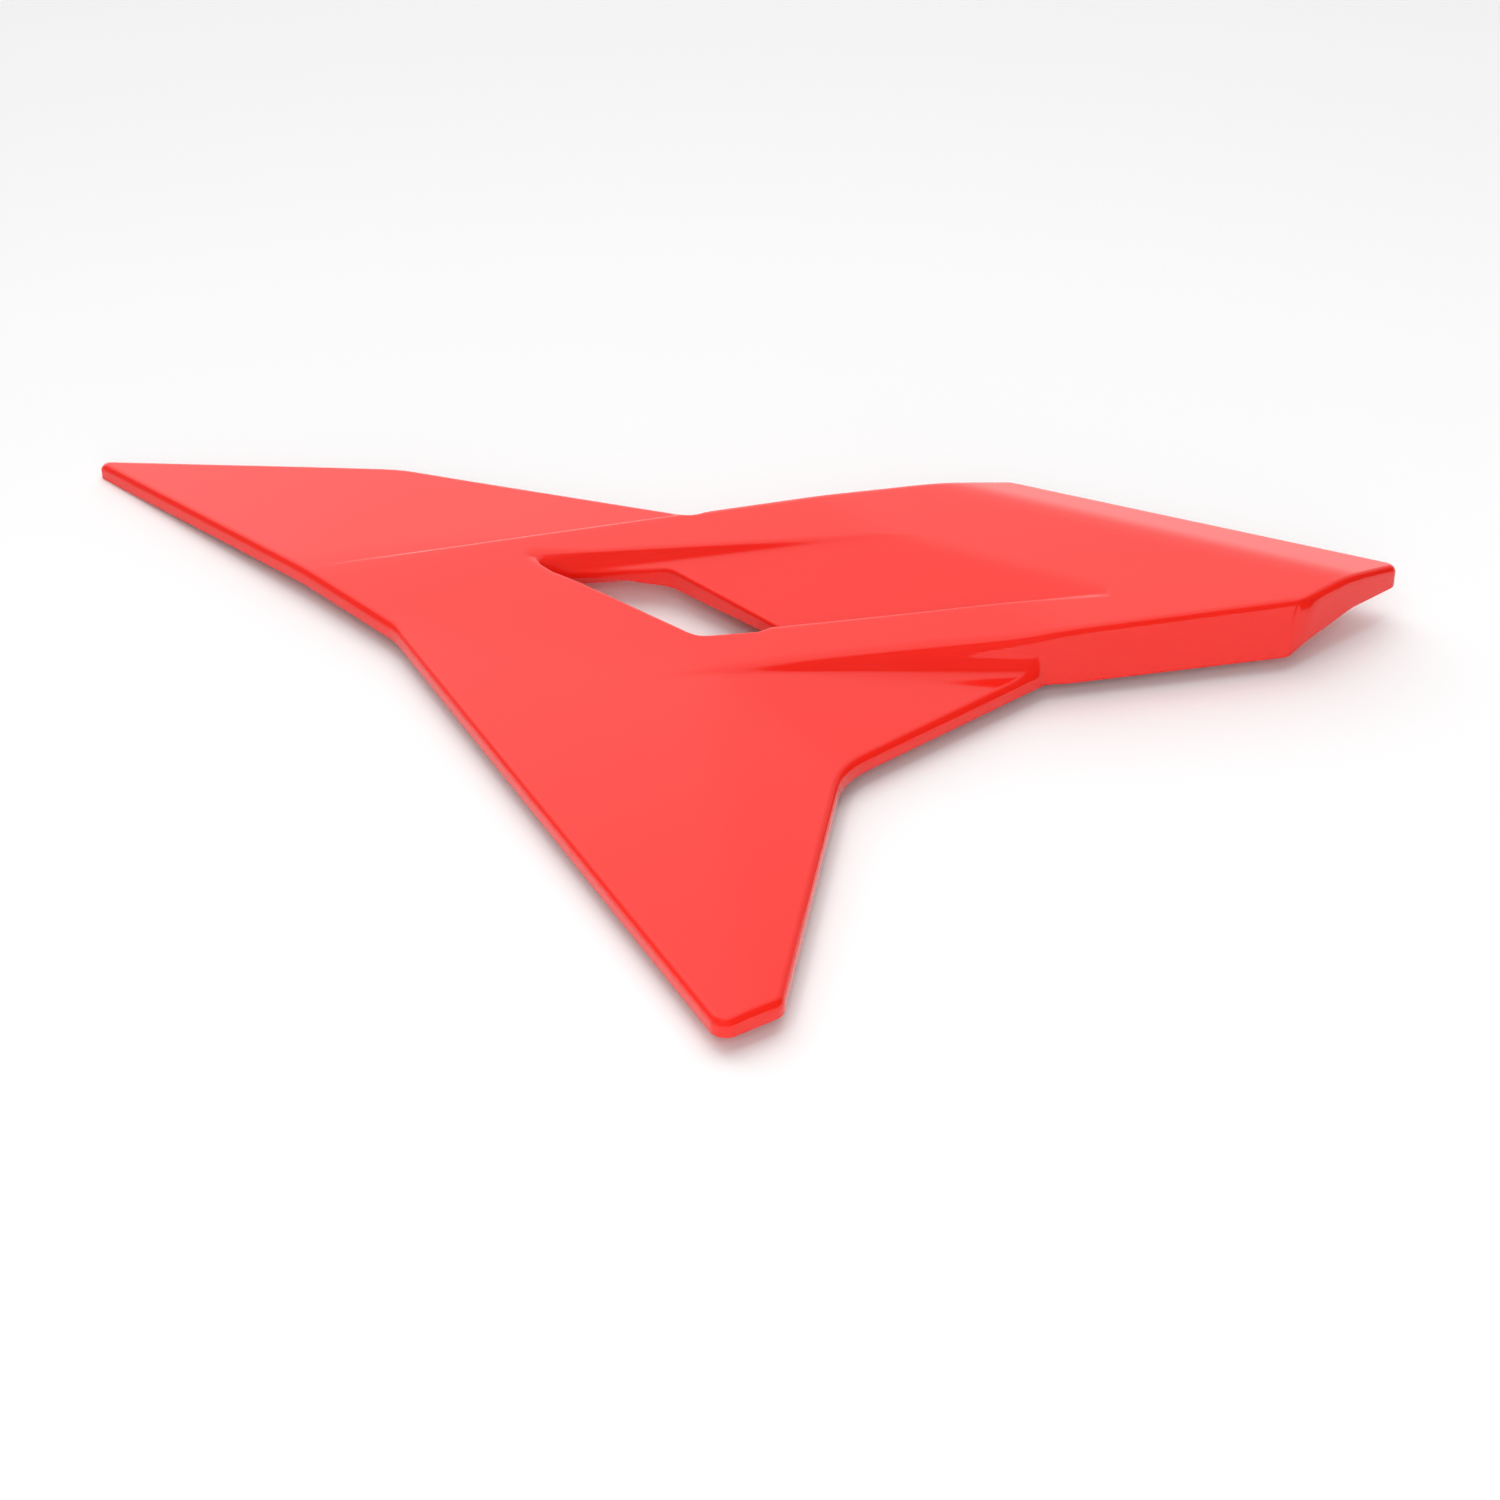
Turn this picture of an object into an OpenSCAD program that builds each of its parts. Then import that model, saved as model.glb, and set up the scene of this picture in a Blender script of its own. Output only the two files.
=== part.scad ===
// Motorcycle side fairing panel: one moulded skin with a vent, and the small
// hardware fitted behind it. Millimetres. +Z out of the outer face, +X towards
// the rear of the panel, +Y towards the tank edge. The origin is under the
// middle of the bounding box, level with the lowest point of the front tip.

/* [Panel skin] */
// Thickness of the moulded skin
wall = 2.5; // [2:0.1:3]
// Depth of the turned-down edge
lip = 6.5; // [5.5:0.5:7.5]
// Height of the lower edge of the panel above the front tip
rim_z = 6; // [5:0.5:7]
// Height of the lower edge along the rear end
rear_rim_z = 14; // [12:0.5:16]
// Slope of the steep lower flank, rise over run
flank_slope = 6; // [4:0.5:8]
// Slope of the hidden flank on the tank side, rise over run
tank_slope = 2.6; // [1.8:0.1:3]
// Slope of the rolled-off rear end, rise over run
rear_slope = 0.235; // [0.15:0.005:0.3]

/* [Ribs and bosses] */
// Thickness of the stiffening ribs
rib_t = 2; // [1.5:0.1:2.5]
// Depth of the stiffening ribs under the skin
rib_h = 4; // [2:0.5:5]
// Outer diameter of the screw bosses
boss_d = 12; // [11:0.5:14]

/* [Threaded inserts] */
// Outer diameter of an insert, and of its hole in the boss
insert_d = 7; // [6.5:0.1:8]
// Length of an insert
insert_l = 5.8; // [5:0.1:7]
// Tapped bore of an insert, M5 minor diameter
insert_bore = 4.2; // [4:0.1:4.5]
// Free depth of the boss hole beyond the insert
insert_gap = 0.7; // [0.4:0.1:1]

/* [Grommet tabs] */
// Thickness of an upright tab
tab_t = 3; // [2.5:0.1:3.5]
// Width of an upright tab
tab_w = 24; // [22:1:28]
// Outer diameter of a rubber grommet
grommet_d = 15; // [14:0.5:16]
// Diameter of the hole in the tab that holds the grommet's groove
grommet_neck = 11.6; // [11:0.2:12.4]
// Thickness of each grommet flange
grommet_flange = 2.2; // [1.8:0.1:2.6]
// Chamfer on the rim of each flange
grommet_chamfer = 0.6; // [0.3:0.1:0.8]
// Outer diameter of the steel collar
collar_d = 8.6; // [8.2:0.1:9]
// Bore of the steel collar, for an M6 bolt
collar_bore = 6.4; // [6.2:0.1:6.6]
// Diameter of the collar's head
collar_head_d = 14; // [12:0.5:15]
// Thickness of the collar's head
collar_head_t = 1.2; // [1:0.1:1.5]

/* [Clip nuts] */
// Width of a spring clip nut
clip_w = 15; // [13:1:17]
// Length of a spring clip nut
clip_l = 18; // [16:1:20]
// Thickness of the spring steel
clip_t = 0.8; // [0.6:0.1:1]
// Outer diameter of the threaded neck
clip_neck_d = 8.5; // [8:0.5:10]
// Bore of the threaded neck, M6 minor diameter
clip_bore = 5; // [4.8:0.1:5.2]
// Height of the threaded neck above the spring steel
clip_neck_h = 4; // [3:0.5:5]

/* [Foam] */
// Thickness of the self-adhesive foam
foam_t = 3; // [2:0.5:4]
// Width of the foam strips
foam_w = 9; // [7:1:11]
// Diameter of the round rattle pads
pad_d = 18; // [14:1:20]

/* [Hidden] */
$fn = 64;

// Half the side of the blocks that stand for half spaces
big = 700;
// A height above every face of the panel, and one below
tall = 60;
deep = -20;
// Overlap that joins a boss, tab or rib into the skin
bite = 1;
// Brings the middle of the bounding box over the origin
centring = [0, -7, 0];
// Shoulder height of the skin's upper face above the lower edge
edge_z = rim_z + lip;

// Corners of the outline seen from above: x, y, corner radius.
OUTLINE = [
    [-262.5, 193, 2.8],   // front tip
    [-165, 97, 40],         // where the front crease meets the edge
    [-125, 55, 30],         // bend above the lower wing
    [-1, -180, 6],          // foot of the lower wing, front corner
    [20, -166.5, 6],        // foot of the lower wing, rear corner
    [42, -36.5, 30],        // inner corner of the lower wing
    [118, 25.5, 3],         // lower wing meets the flank
    [211, 45, 5],           // end of the flank
    [257.5, 83, 4],         // rear tip, lower side
    [253, 87, 4],           // rear tip, tank side
    [100.5, 151.5, 5],      // tank-side corner of the rear end
    [0, 132.5, 6],          // tank flank begins
    [-13, 120.7, 5],        // front wing meets the tank flank
    [-131.5, 171, 60]     // bend in the front wing's far edge
];

// Facets of the upper face: x, y, z of a point, then the slopes along x and y.
NOSE = [-125, 55, edge_z, 0.0624, 0.0577];
FRONT_WING = [-165, 97, edge_z, 0.0705, 0];
BACK = [60, 80, rim_z + 20.5, 0.012, 0.010];
WING_FRONT = [-125, 55, edge_z, 0.0538, 0.0283];
WING_REAR = [42, -36.5, edge_z, -0.0972, 0.0165];
WING_GUSSET = [42, -36.5, edge_z, -0.0473, 0.0580];
FLANK = [118, 25.5, rim_z, -0.205 * flank_slope, 0.979 * flank_slope];
FLANK_FRONT = [-4.5, 16.6, rim_z + 11.8, -0.206, 2.2];
TANK_FLANK = [0, 132.5, rim_z, 0.189 * tank_slope, -0.982 * tank_slope];
REAR_END = [108.5, 147.3, rim_z + 17, -0.394 * rear_slope - 0.003, -0.919 * rear_slope];
RAMP = [59, 98.5, rim_z + 20.6, 0.1105, 0.197];
RAMP_WALL = [0, 98, rim_z + 16.8, 0.0624, 1.6];
NEAR_WALL = [-10, 41, rim_z + 12.9, 0.164, -1.19];

// Plan of the sunk scoop, and of the open vent at its front: x, y, radius
SCOOP = [[-74, 98, 0], [-65, 88, 0], [-10, 41, 0], [15, 42.2, 0], [142, 55, 0], [59, 98.5, 0]];
VENT = [
    [-71.5, 94.5, 1], [-65.7, 87.2, 8], [-10.5, 40, 12], [15, 41, 9],
    [21.5, 52, 3], [-22, 91, 10], [-62, 93.5, 8]
];
BODY_FACETS = [NOSE, FRONT_WING, BACK, FLANK, FLANK_FRONT, REAR_END];
// Where the lower wing's facets apply: low corner, size
WING_ZONE = [[-150, -200], [269, 270]];
// Where the lower edge follows the front wing
FRONT_ZONE = [[-300, 76], [-165, 97], [-13, 119], [-13, 250], [-300, 250]];
// The tank flank lies behind this x
tank_flank_x = -13;
// The lower edge climbs to the rear tip along these x, z points, first on the
// flank's side and then on the tank's side
past_rear = 290;
REAR_RISE = [
    [211, rim_z], [219.5, rim_z + 3.5], [228.5, rim_z + 5.7], [236.5, rear_rim_z],
    [past_rear, rear_rim_z], [past_rear, deep], [211, deep]
];
TANK_RISE = [
    [101, rim_z], [105.5, rim_z + 4], [110, rear_rim_z],
    [past_rear, rear_rim_z], [past_rear, deep], [101, deep]
];
// Line between the two, and how far each reaches from it
rise_split_y = 88;
rear_rise_w = 70;
tank_rise_w = 90;

// Screw bosses: x, y, level of the open end above the lower edge
BOSSES = [[-98, 84, 0.6], [-45, 26, 1.1], [12, 14, 0.2], [30, 118, 1.7], [198, 66, 2.3]];
// Upright tabs: x, y, turn about z
TABS = [[92, 112, 12], [165, 78, 12]];
// Gap between a grommet and the skin, and material below its hole
tab_gap = 1.5;
tab_foot = 2;
// Reach of a tab into the skin
tab_bite = 0.4;
// Level clip tabs: x, y, turn about z, level above the lower edge
CLIPS = [[140, 31.6, 11.8, 7.2], [188, 41.6, 11.8, 7.8]];
clip_tab_t = 2.5;
// A clip tab starts inside the flank, at this distance from its lower edge
clip_tab_start = 1;
clip_tab_l = 24;
// Distance of the clip's bolt from the flank's lower edge
clip_hole_y = 16;
// Gap between a clip and its tab
clip_gap = 0.1;
PADS = [[-16, -95], [6, -140], [-190, 142]];
RIBS = [
    [-135, 84, 56, 9],      // x, y, length, turn
    [-72, 40, 118, -62],
    [-30, 10, 116, -66],
    [28, 18, 84, 12]
];

function unit(v) = v / norm(v);
function flat(p) = [p[0], p[1]];
function turned(v, q) = [v.x * cos(q) - v.y * sin(q), v.x * sin(q) + v.y * cos(q)];
// Corner radius after the outline moves inwards by d
function shrunk(r, turn, d) = turn > 0 ? max(r - d, 0.2) : r + d;
// Corner a-b-c with its offset vertex and its arc
function offset_point(a, b, c, d) = let (
        u = unit(flat(b) - flat(a)),
        w = unit(flat(c) - flat(b)),
        n = [-u.y, u.x],
        m = [-w.y, w.x]
    ) flat(b) + d * (n + m) / (1 + n * m);
function arc(a, b, c, r) = let (
        u = unit(b - a),
        w = unit(c - b),
        turn = atan2(cross(u, w), u * w),
        start = b - r * tan(abs(turn) / 2) * u,
        side = sign(turn) * [-u.y, u.x],
        steps = max(1, ceil(abs(turn) / 20))
    ) [for (j = [0 : steps]) start + r * side - r * turned(side, turn * j / steps)];
function turn_at(p, i) = let (
        n = len(p),
        b = flat(p[i]),
        u = b - flat(p[(i + n - 1) % n]),
        w = flat(p[(i + 1) % n]) - b
    ) cross(u, w);
// Closed outline moved inwards by d, or outwards where d is negative
function inset(p, d) = let (n = len(p)) [for (i = [0 : n - 1])
        offset_point(p[(i + n - 1) % n], p[i], p[(i + 1) % n], d)];
function rounded(p, d = 0) = let (n = len(p), q = inset(p, d)) [
        for (i = [0 : n - 1])
            let (r = p[i][2] == 0 ? 0 : shrunk(p[i][2], turn_at(p, i), d))
            each (r == 0 ? [q[i]] : arc(q[(i + n - 1) % n], q[i], q[(i + 1) % n], r))
    ];
// Height of a facet over the point p
function height(facet, p) =
    facet[2] + facet[3] * (p[0] - facet[0]) + facet[4] * (p[1] - facet[1]);
// Height of the skin's upper face over the point p, outside the scoop
function skin_z(p) = let (
        wing = min(height(WING_FRONT, p), max(height(WING_REAR, p), height(WING_GUSSET, p))),
        body = min([for (facet = BODY_FACETS) height(facet, p)])
    ) p[0] > WING_ZONE[0].x ? max(wing, body) : body;

// Everything below a facet that is lowered by d at right angles to itself
module under(facet, d) {
    n = norm([facet[3], facet[4], 1]);
    translate([facet[0], facet[1], facet[2] - d * n])
        rotate([asin(facet[4] / n), atan2(-facet[3], 1), 0])
            translate([-big, -big, -2 * big])
                cube(2 * big);
}

// Everything above a facet that is lowered by d
module above(facet, d) {
    n = norm([facet[3], facet[4], 1]);
    translate([facet[0], facet[1], facet[2] - d * n])
        rotate([asin(facet[4] / n), atan2(-facet[3], 1), 0])
            translate([-big, -big, 0])
                cube(2 * big);
}

// Everything below the upper face, which is lowered by d all over
module below_faces(d) {
    difference() {
        union() {
            lower_wing(d);
            main_body(d);
        }
        scoop(d);
    }
}

// The same, within the outline drawn in by d
module under_skin(d) {
    intersection() {
        translate([0, 0, deep])
            linear_extrude(tall - deep)
                polygon(rounded(OUTLINE, d));
        below_faces(d);
    }
}

module lower_wing(d) {
    intersection() {
        translate([WING_ZONE[0].x, WING_ZONE[0].y, deep])
            cube([WING_ZONE[1].x - d, WING_ZONE[1].y, tall - deep]);
        under(WING_FRONT, d);
        union() {
            under(WING_REAR, d);
            under(WING_GUSSET, d);
        }
    }
}

module main_body(d) {
    intersection() {
        under(NOSE, d);
        under(FRONT_WING, d);
        under(BACK, d);
        under(FLANK, d);
        under(FLANK_FRONT, d);
        under(REAR_END, d);
        union() {
            under(TANK_FLANK, d);
            translate([tank_flank_x - big, -big / 2, -big / 2])
                cube(big);
        }
    }
}

// Space above the sunk ramp and between its two walls
module scoop(d) {
    intersection() {
        linear_extrude(tall)
            polygon(rounded(SCOOP, -d));
        above(RAMP, d);
        above(RAMP_WALL, d);
        above(NEAR_WALL, d);
    }
}

// What lies below the panel's lower edge
module below_rim() {
    difference() {
        translate([-big, -big, -big])
            cube([2 * big, 2 * big, big + rim_z]);
        front_wing_zone();
    }
    intersection() {
        front_wing_zone();
        under(FRONT_WING, lip);
    }
    translate([0, rise_split_y, 0])
        rotate([90, 0, 0])
            linear_extrude(rear_rise_w)
                polygon(REAR_RISE);
    translate([0, rise_split_y + tank_rise_w, 0])
        rotate([90, 0, 0])
            linear_extrude(tank_rise_w)
                polygon(TANK_RISE);
}

module front_wing_zone() {
    translate([0, 0, deep])
        linear_extrude(tall - deep)
            polygon(FRONT_ZONE);
}

// Turned-down edge round the vent
module vent_edge() {
    difference() {
        intersection() {
            linear_extrude(tall)
                polygon(rounded(VENT, -wall));
            under_skin(0);
        }
        below_faces(lip);
    }
}

// Stiffening ribs that follow the underside
module ribs() {
    difference() {
        intersection() {
            for (r = RIBS)
                translate([r[0], r[1], 0])
                    rotate([0, 0, r[3]])
                        translate([0, -rib_t / 2, 0])
                            cube([r[2], rib_t, tall]);
            under_skin(wall - bite);
        }
        below_faces(wall + rib_h);
    }
}

// Height of a boss's open end
function boss_z(p) = rim_z + p[2];

module bosses() {
    for (p = BOSSES)
        translate([p[0], p[1], boss_z(p)])
            cylinder(d = boss_d, h = skin_z(p) - wall + bite - boss_z(p));
}

module boss_holes() {
    for (p = BOSSES)
        translate([p[0], p[1], boss_z(p) - 1])
            cylinder(d = insert_d, h = insert_l + insert_gap + 1);
}

// Height of the grommet's axis
function tab_axis_z(p) = skin_z(p) - wall - grommet_d / 2 - tab_gap;
// Height of a tab's lower edge
function tab_low_z(p) = tab_axis_z(p) - grommet_neck / 2 - tab_foot;

module tabs() {
    for (p = TABS)
        translate([p[0], p[1], 0])
            rotate([0, 0, p[2]])
                translate([-tab_w / 2, -tab_t / 2, tab_low_z(p)])
                    cube([tab_w, tab_t, skin_z(p) - wall + tab_bite - tab_low_z(p)]);
}

// Places children on a tab's hole, with z along the hole
module on_tab(p) {
    translate([p[0], p[1], tab_axis_z(p)])
        rotate([0, 0, p[2]])
            rotate([90, 0, 0])
                children();
}

module tab_holes() {
    for (p = TABS)
        on_tab(p)
            cylinder(d = grommet_neck, h = tab_t + 2, center = true);
}

// Level tabs inside the flank, with a clearance hole for the bolt
module clip_tabs() {
    for (p = CLIPS)
        on_clip(p)
            translate([-clip_w / 2 + clip_gap, clip_tab_start, 0])
                cube([clip_w - 2 * clip_gap, clip_tab_l, clip_tab_t]);
}

module on_clip(p) {
    translate([p[0], p[1], rim_z + p[3]])
        rotate([0, 0, p[2]])
            children();
}

module clip_tab_holes() {
    for (p = CLIPS)
        on_clip(p)
            translate([0, clip_hole_y, -1])
                cylinder(d = clip_bore + 2, h = clip_tab_t + 2);
}

module outer_panel() {
    color([0.93, 0.2, 0.16])
    translate(centring)
    difference() {
        union() {
            difference() {
                under_skin(0);
                under_skin(wall);
            }
            vent_edge();
            ribs();
            bosses();
            tabs();
            clip_tabs();
        }
        linear_extrude(tall)
            polygon(rounded(VENT));
        below_rim();
        boss_holes();
        tab_holes();
        clip_tab_holes();
    }
}

module threaded_inserts() {
    color([0.78, 0.6, 0.28])
    translate(centring)
    for (p = BOSSES)
        translate([p[0], p[1], boss_z(p)])
            difference() {
                cylinder(d = insert_d, h = insert_l);
                translate([0, 0, -1])
                    cylinder(d = insert_bore, h = insert_l + 2);
            }
}

module tab_grommets() {
    half = tab_t / 2;
    color([0.08, 0.08, 0.08])
    translate(centring)
    for (p = TABS)
        on_tab(p)
            rotate_extrude()
                polygon([
                    [collar_d / 2, -half - grommet_flange],
                    [grommet_d / 2 - grommet_chamfer, -half - grommet_flange],
                    [grommet_d / 2, -half - grommet_flange + grommet_chamfer],
                    [grommet_d / 2, -half],
                    [grommet_neck / 2, -half],
                    [grommet_neck / 2, half],
                    [grommet_d / 2, half],
                    [grommet_d / 2, half + grommet_flange - grommet_chamfer],
                    [grommet_d / 2 - grommet_chamfer, half + grommet_flange],
                    [collar_d / 2, half + grommet_flange]
                ]);
}

module grommet_collars() {
    reach = tab_t / 2 + grommet_flange;
    color([0.72, 0.73, 0.75])
    translate(centring)
    for (p = TABS)
        on_tab(p)
            difference() {
                union() {
                    translate([0, 0, -reach])
                        cylinder(d = collar_d, h = 2 * reach);
                    translate([0, 0, reach])
                        cylinder(d = collar_head_d, h = collar_head_t);
                }
                translate([0, 0, -reach - 1])
                    cylinder(d = collar_bore, h = 2 * reach + collar_head_t + 2);
            }
}

// U-shaped spring clip pushed over the free end of a level tab
module clip_nuts() {
    depth = clip_tab_t + 2 * clip_gap;
    back_y = clip_tab_start + clip_tab_l + clip_gap;
    color([0.45, 0.46, 0.48])
    translate(centring)
    for (p = CLIPS)
        on_clip(p)
            difference() {
                union() {
                    translate([-clip_w / 2, back_y + clip_t - clip_l, -clip_gap - clip_t])
                        cube([clip_w, clip_l, clip_t]);
                    translate([-clip_w / 2, back_y + clip_t - clip_l, depth - clip_gap])
                        cube([clip_w, clip_l, clip_t]);
                    translate([-clip_w / 2, back_y, -clip_gap - clip_t])
                        cube([clip_w, clip_t, depth + 2 * clip_t]);
                    translate([0, clip_hole_y, depth - clip_gap])
                        cylinder(d = clip_neck_d, h = clip_t + clip_neck_h);
                }
                translate([0, clip_hole_y, depth - clip_gap - 1])
                    cylinder(d = clip_bore, h = clip_t + clip_neck_h + 2);
                translate([0, clip_hole_y, -clip_gap - clip_t - 1])
                    cylinder(d = clip_bore + 2, h = clip_t + 2);
            }
}

// A strip of foam on the underside, between two points
module foam_strip(a, b, thickness) {
    run = b - a;
    difference() {
        intersection() {
            translate([a.x, a.y, 0])
                rotate([0, 0, atan2(run.y, run.x)])
                    translate([0, -foam_w / 2, 0])
                        cube([norm(run), foam_w, tall]);
            under_skin(wall);
        }
        below_faces(wall + thickness);
    }
}

module edge_foam() {
    color([0.16, 0.16, 0.17])
    translate(centring)
    foam_strip([-225, 166], [-134, 157], foam_t);
}

module vent_gasket() {
    color([0.16, 0.16, 0.17])
    translate(centring)
    foam_strip([-69, 76.3], [-23, 37], foam_t);
}

module rattle_pads() {
    color([0.2, 0.2, 0.21])
    translate(centring)
    for (p = PADS)
        difference() {
            intersection() {
                translate([p[0], p[1], 0])
                    cylinder(d = pad_d, h = tall);
                under_skin(wall);
            }
            below_faces(wall + foam_t);
        }
}

outer_panel();
threaded_inserts();
tab_grommets();
grommet_collars();
clip_nuts();
edge_foam();
vent_gasket();
rattle_pads();
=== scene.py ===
import math

import bpy
import numpy as np
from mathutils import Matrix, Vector
from mathutils.geometry import delaunay_2d_cdt


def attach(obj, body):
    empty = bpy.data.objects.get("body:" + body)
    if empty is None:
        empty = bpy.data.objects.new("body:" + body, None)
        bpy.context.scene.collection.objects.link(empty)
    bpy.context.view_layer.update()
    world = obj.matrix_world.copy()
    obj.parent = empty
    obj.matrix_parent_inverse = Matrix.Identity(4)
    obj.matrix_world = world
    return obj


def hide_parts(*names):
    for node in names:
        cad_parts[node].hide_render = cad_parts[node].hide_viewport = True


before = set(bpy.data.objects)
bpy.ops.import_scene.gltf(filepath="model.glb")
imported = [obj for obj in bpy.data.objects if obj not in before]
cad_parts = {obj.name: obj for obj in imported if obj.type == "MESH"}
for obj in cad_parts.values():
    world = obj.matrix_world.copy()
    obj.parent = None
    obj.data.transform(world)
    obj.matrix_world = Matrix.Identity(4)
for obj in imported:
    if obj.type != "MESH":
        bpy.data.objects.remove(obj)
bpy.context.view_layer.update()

# ---------------------------------------------------------------- dimensions
# Millimetres until a mesh is made, when CENTRING brings the middle of the part's
# box over the origin.
CENTRING = (0, -7, 0)
MM = 0.001
WALL = 2.5
LIP = 6.5
RIM = 6.0
REAR_RIM = 14.0
EDGE = RIM + LIP
FILLET = 3.0

# Outline of the panel: x, y, corner radius
OUTLINE = [
    (-262.5, 193, 2.8), (-165, 97, 40), (-125, 55, 30), (-1, -180, 6),
    (20, -166.5, 6), (42, -36.5, 30), (118, 25.5, 3), (211, 45, 5),
    (257.5, 83, 4), (253, 87, 4), (100.5, 151.5, 5), (0, 132.5, 6),
    (-13, 120.7, 5), (-131.5, 171, 60),
]
VENT = [
    (-71.5, 94.5, 1), (-65.7, 87.2, 8), (-10.5, 40, 12), (15, 41, 9),
    (21.5, 52, 3), (-22, 91, 10), (-62, 93.5, 8),
]
# Facets: x, y, z of a point, then the slopes along x and y
NOSE = (-125, 55, EDGE, 0.0624, 0.0577)
FRONT_WING = (-165, 97, EDGE, 0.0705, 0.0)
BACK = (60, 80, RIM + 20.5, 0.012, 0.010)
WING_FRONT = (-125, 55, EDGE, 0.0538, 0.0283)
WING_REAR = (42, -36.5, EDGE, -0.0972, 0.0165)
WING_GUSSET = (42, -36.5, EDGE, -0.0473, 0.0580)
WING_END = (115.5, 25.5, EDGE, -3.0, -0.62)
FLANK = (118, 25.5, RIM, -0.205 * 6, 0.979 * 6)
FLANK_FOOT = (-4.5, 16.6, RIM + 11.8, 0.0741, -0.0431)
TANK_FLANK = (0, 132.5, RIM, 0.189 * 2.1, -0.982 * 2.1)
REAR_END = (108.5, 147.3, RIM + 17, -0.394 * 0.235 - 0.003, -0.919 * 0.235)
RAMP = (59, 98.5, RIM + 20.6, 0.1105, 0.197)
RAMP_WALL = (0, 98, RIM + 16.8, 0.0624, 1.6)
NEAR_WALL = (-10, 41, RIM + 12.9, 0.164, -1.19)
# The scoop's near border, where its edge is cut straight down, and its far corners
SCOOP_BORDER = [
    (-74, 98), (-65, 88), (-10, 41), (15, 42.2), (142, 55), (142, 140), (-74, 140),
]
# Size of the soft join between two facets
TOP_JOIN, ROLL_JOIN, FLANK_FRONT_JOIN, TANK_JOIN = 0.9, 2.2, 1.5, 3.4
GUSSET_JOIN, WING_JOIN, WING_END_JOIN = 0.7, 2.2, 5.0
RAMP_JOIN, NEAR_WALL_JOIN = 3.0, 2.5
# Height of the raised line that runs along the front crease
RIDGE = 0.42
# Where the lower edge follows the front wing: x, y and slope of its near limit
FRONT_LIMIT = (-300, 76, 0.1556)
# The lower edge climbs to the rear tip over these x, on the flank's side
REAR_RISE = [(211, RIM), (219.5, RIM + 3.5), (228.5, RIM + 5.7), (236.5, REAR_RIM)]
# Spacing of the points along the outline and round the vent
EDGE_STEP, VENT_STEP = 3.0, 0.8
# Heights between which a point of the face is looked for, and the times they're halved
SEARCH, HALVINGS = (-30.0, 50.0), 30
# Bend in degrees over which an edge is shaded as sharp
SHARP = 35.0


# ------------------------------------------------------------ surface field
def smooth_min(a, b, k):
    h = np.maximum(k - np.abs(a - b), 0) / k
    return np.minimum(a, b) - h * h * h * k / 6


def smooth_max(a, b, k):
    return -smooth_min(-a, -b, k)


def step(a, b, t):
    s = np.clip((t - a) / (b - a), 0, 1)
    return s * s * (3 - 2 * s)


def below(facet, x, y, z):
    """Distance of a point below a facet."""
    px, py, pz, sx, sy = facet
    return (pz + sx * (x - px) + sy * (y - py) - z) / math.sqrt(1 + sx * sx + sy * sy)


def as_tuples(loop):
    return [tuple(p) for p in loop]


def segment_distance(x, y, a, b):
    ax, ay = a
    dx, dy = b[0] - ax, b[1] - ay
    t = np.clip(((x - ax) * dx + (y - ay) * dy) / (dx * dx + dy * dy), 0, 1)
    return np.hypot(x - ax - t * dx, y - ay - t * dy)


def polygon_distance(x, y, corners):
    """Signed distance to a closed polygon, positive inside."""
    best = np.full(x.shape, 1e9)
    inside = np.zeros(x.shape, bool)
    n = len(corners)
    for i in range(n):
        a, b = corners[i], corners[(i + 1) % n]
        best = np.minimum(best, segment_distance(x, y, a, b))
        crosses = (a[1] > y) != (b[1] > y)
        if a[1] != b[1]:
            at = a[0] + (y - a[1]) * (b[0] - a[0]) / (b[1] - a[1])
            inside ^= crosses & (x < at)
    return np.where(inside, best, -best)


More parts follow.
